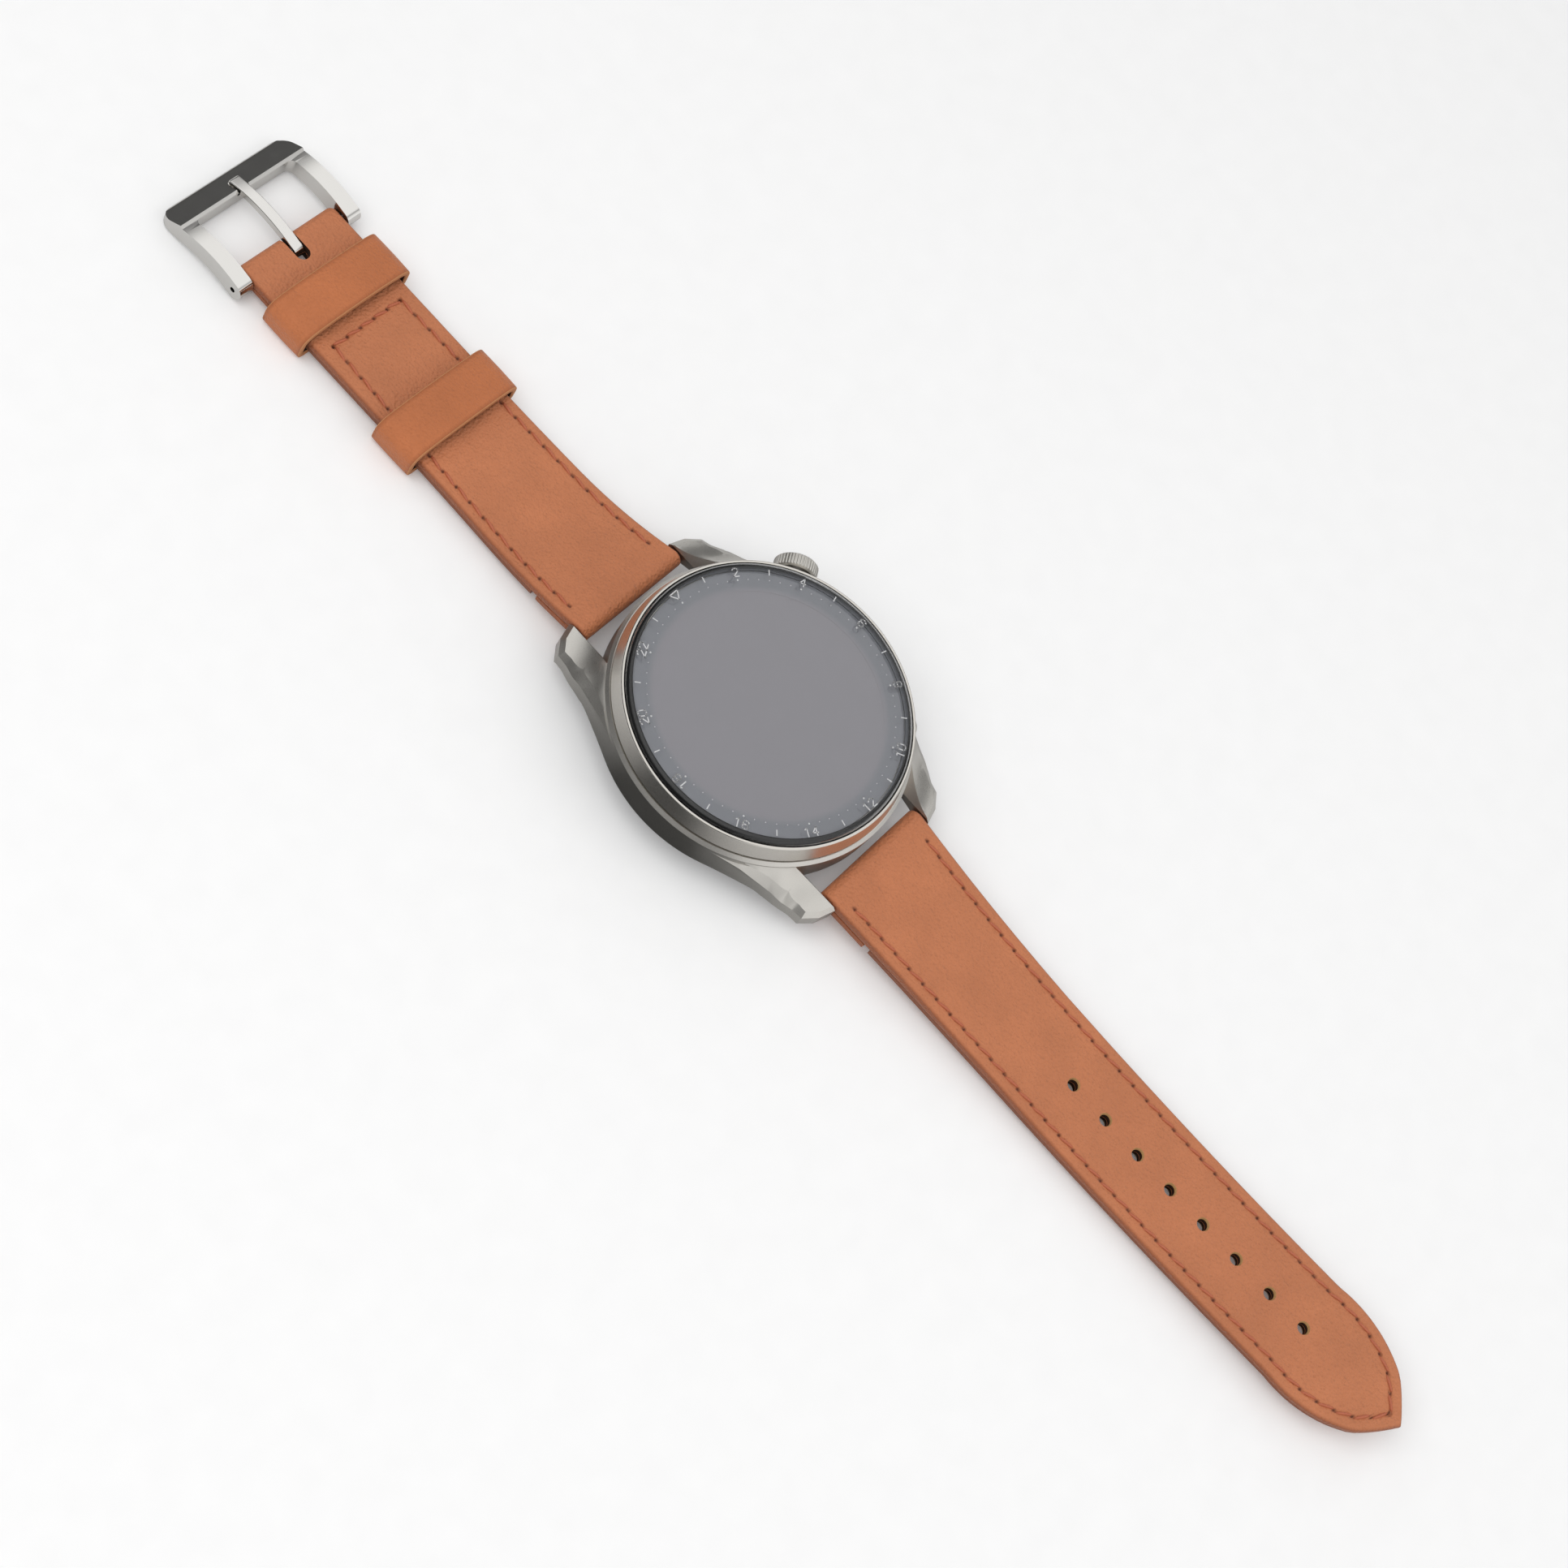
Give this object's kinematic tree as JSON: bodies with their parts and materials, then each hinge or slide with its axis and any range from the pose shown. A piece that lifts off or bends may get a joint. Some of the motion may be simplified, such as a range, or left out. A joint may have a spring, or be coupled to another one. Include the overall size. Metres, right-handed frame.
{
  "type": "smartwatch",
  "caption": "Round smartwatch with bezel ring, crown, side button, quick-release leather strap, keepers and tang buckle, laid open.",
  "frame": {"origin": "where the case axis meets the plane the watch rests on, at the flat middle of the sensor window", "axes": "+Z out of the cover glass, +Y towards 12 o'clock and the buckle piece of the strap, +X towards 3 o'clock and the controls"},
  "size_m": [0.0492, 0.2541, 0.015],
  "materials": {
    "titanium": "fine satin brushed",
    "bezel_titanium": "satin with a polished rim",
    "polished_steel": "polished",
    "spring_steel": "bright",
    "cover_glass": "polished, dark bevelled edge",
    "display": "off, neutral grey",
    "scale_print": "dark ring with pale 24-hour marks",
    "leather": "smooth tan full grain",
    "leather_lining": "matt tan",
    "keeper_leather": "smooth tan, pale cut edge",
    "rubber": "matt",
    "black_plastic": "moulded",
    "back_ceramic": "glossy black ceramic",
    "sensor_glass": "dark tinted",
    "circuit_board": "solder mask",
    "can_metal": "tinned",
    "battery_foil": "foil pouch",
    "copper": "enamelled wire",
    "flex_film": "polyimide"
  },
  "bodies": {
    "head": {"middle_case": "titanium", "bezel_ring": "bezel_titanium", "cover_glass": "cover_glass", "scale_ring": "scale_print", "display_panel": "display", "display_flex": "flex_film", "front_gasket": "rubber", "inner_frame": "black_plastic", "main_board": "circuit_board", "board_shields": "can_metal", "battery": "battery_foil", "vibration_motor": "can_metal", "speaker": "black_plastic", "microphone": "can_metal", "barometer": "can_metal", "antenna_ring": "copper", "frame_screws": "spring_steel", "back_cover": "back_ceramic", "back_gasket": "rubber", "back_screws": "spring_steel", "sensor_window": "sensor_glass", "sensor_board": "circuit_board", "optical_sensors": "black_plastic", "charge_coil": "copper", "crown_tube": "spring_steel", "crown_switch": "can_metal", "side_button_seal": "rubber", "button_switch": "can_metal"},
    "crown_drive": {"crown_encoder": "spring_steel"},
    "crown": {"crown_cap": "titanium", "crown_shaft": "spring_steel", "crown_seals": "rubber", "crown_clip": "spring_steel"},
    "button": {"side_button": "titanium", "side_button_clip": "spring_steel"},
    "long_strap": {"long_strap_top": "leather", "long_strap_lining": "leather_lining", "long_bar_tube": "spring_steel", "long_bar_fixed_tip": "spring_steel", "long_bar_spring": "spring_steel"},
    "long_release": {"long_release_pin": "spring_steel"},
    "short_strap": {"short_strap_top": "leather", "short_strap_lining": "leather_lining", "short_bar_tube": "spring_steel", "short_bar_fixed_tip": "spring_steel", "short_bar_spring": "spring_steel", "fixed_keeper": "keeper_leather", "buckle_bar_tube": "spring_steel", "buckle_bar_spring": "spring_steel"},
    "short_release": {"short_release_pin": "spring_steel"},
    "sliding_keeper": {"free_keeper": "keeper_leather"},
    "buckle": {"buckle_frame": "polished_steel"},
    "tongue": {"buckle_tongue": "polished_steel"},
    "left_tip": {"buckle_tip_left": "spring_steel"},
    "right_tip": {"buckle_tip_right": "spring_steel"}
  },
  "joints": [
    {"name": "crown_turn", "type": "hinge", "parent": "head", "child": "crown_drive", "pos_m": [0.01689, 0.00975, 0.0085], "axis": [0.866, 0.5, 0], "continuous": true},
    {"name": "crown_press", "type": "slide", "parent": "crown_drive", "child": "crown", "axis": [-0.866, -0.5, 0], "range_m": [0, 0.00035]},
    {"name": "button_press", "type": "slide", "parent": "head", "child": "button", "axis": [-0.866, 0.5, 0], "range_m": [0, 0.0005]},
    {"name": "long_strap_swing", "type": "hinge", "parent": "head", "child": "long_strap", "pos_m": [0, -0.0267, 0.00505], "axis": [1, 0, 0], "range_deg": [-60, 90]},
    {"name": "short_strap_swing", "type": "hinge", "parent": "head", "child": "short_strap", "pos_m": [0, 0.0267, 0.00505], "axis": [-1, 0, 0], "range_deg": [-60, 90]},
    {"name": "long_release_slide", "type": "slide", "parent": "long_strap", "child": "long_release", "axis": [-1, 0, 0], "range_m": [0, 0.0014], "deforming": ["long_bar_spring"]},
    {"name": "short_release_slide", "type": "slide", "parent": "short_strap", "child": "short_release", "axis": [1, 0, 0], "range_m": [0, 0.0014], "deforming": ["short_bar_spring"]},
    {"name": "keeper_slide", "type": "slide", "parent": "short_strap", "child": "sliding_keeper", "axis": [0, 1, 0], "range_m": [-0.0149, 0.0155]},
    {"name": "buckle_swing", "type": "hinge", "parent": "short_strap", "child": "buckle", "pos_m": [0, 0.0986, 0.00233], "axis": [1, 0, 0], "range_deg": [-60, 45]},
    {"name": "tongue_swing", "type": "hinge", "parent": "buckle", "child": "tongue", "pos_m": [0, 0.0986, 0.00233], "axis": [1, 0, 0], "range_deg": [0, 60]},
    {"name": "left_tip_slide", "type": "slide", "parent": "short_strap", "child": "left_tip", "axis": [1, 0, 0], "range_m": [0, 0.0017], "deforming": ["buckle_bar_spring"]},
    {"name": "right_tip_slide", "type": "slide", "parent": "short_strap", "child": "right_tip", "axis": [-1, 0, 0], "range_m": [0, 0.0017], "deforming": ["buckle_bar_spring"]}
  ]
}
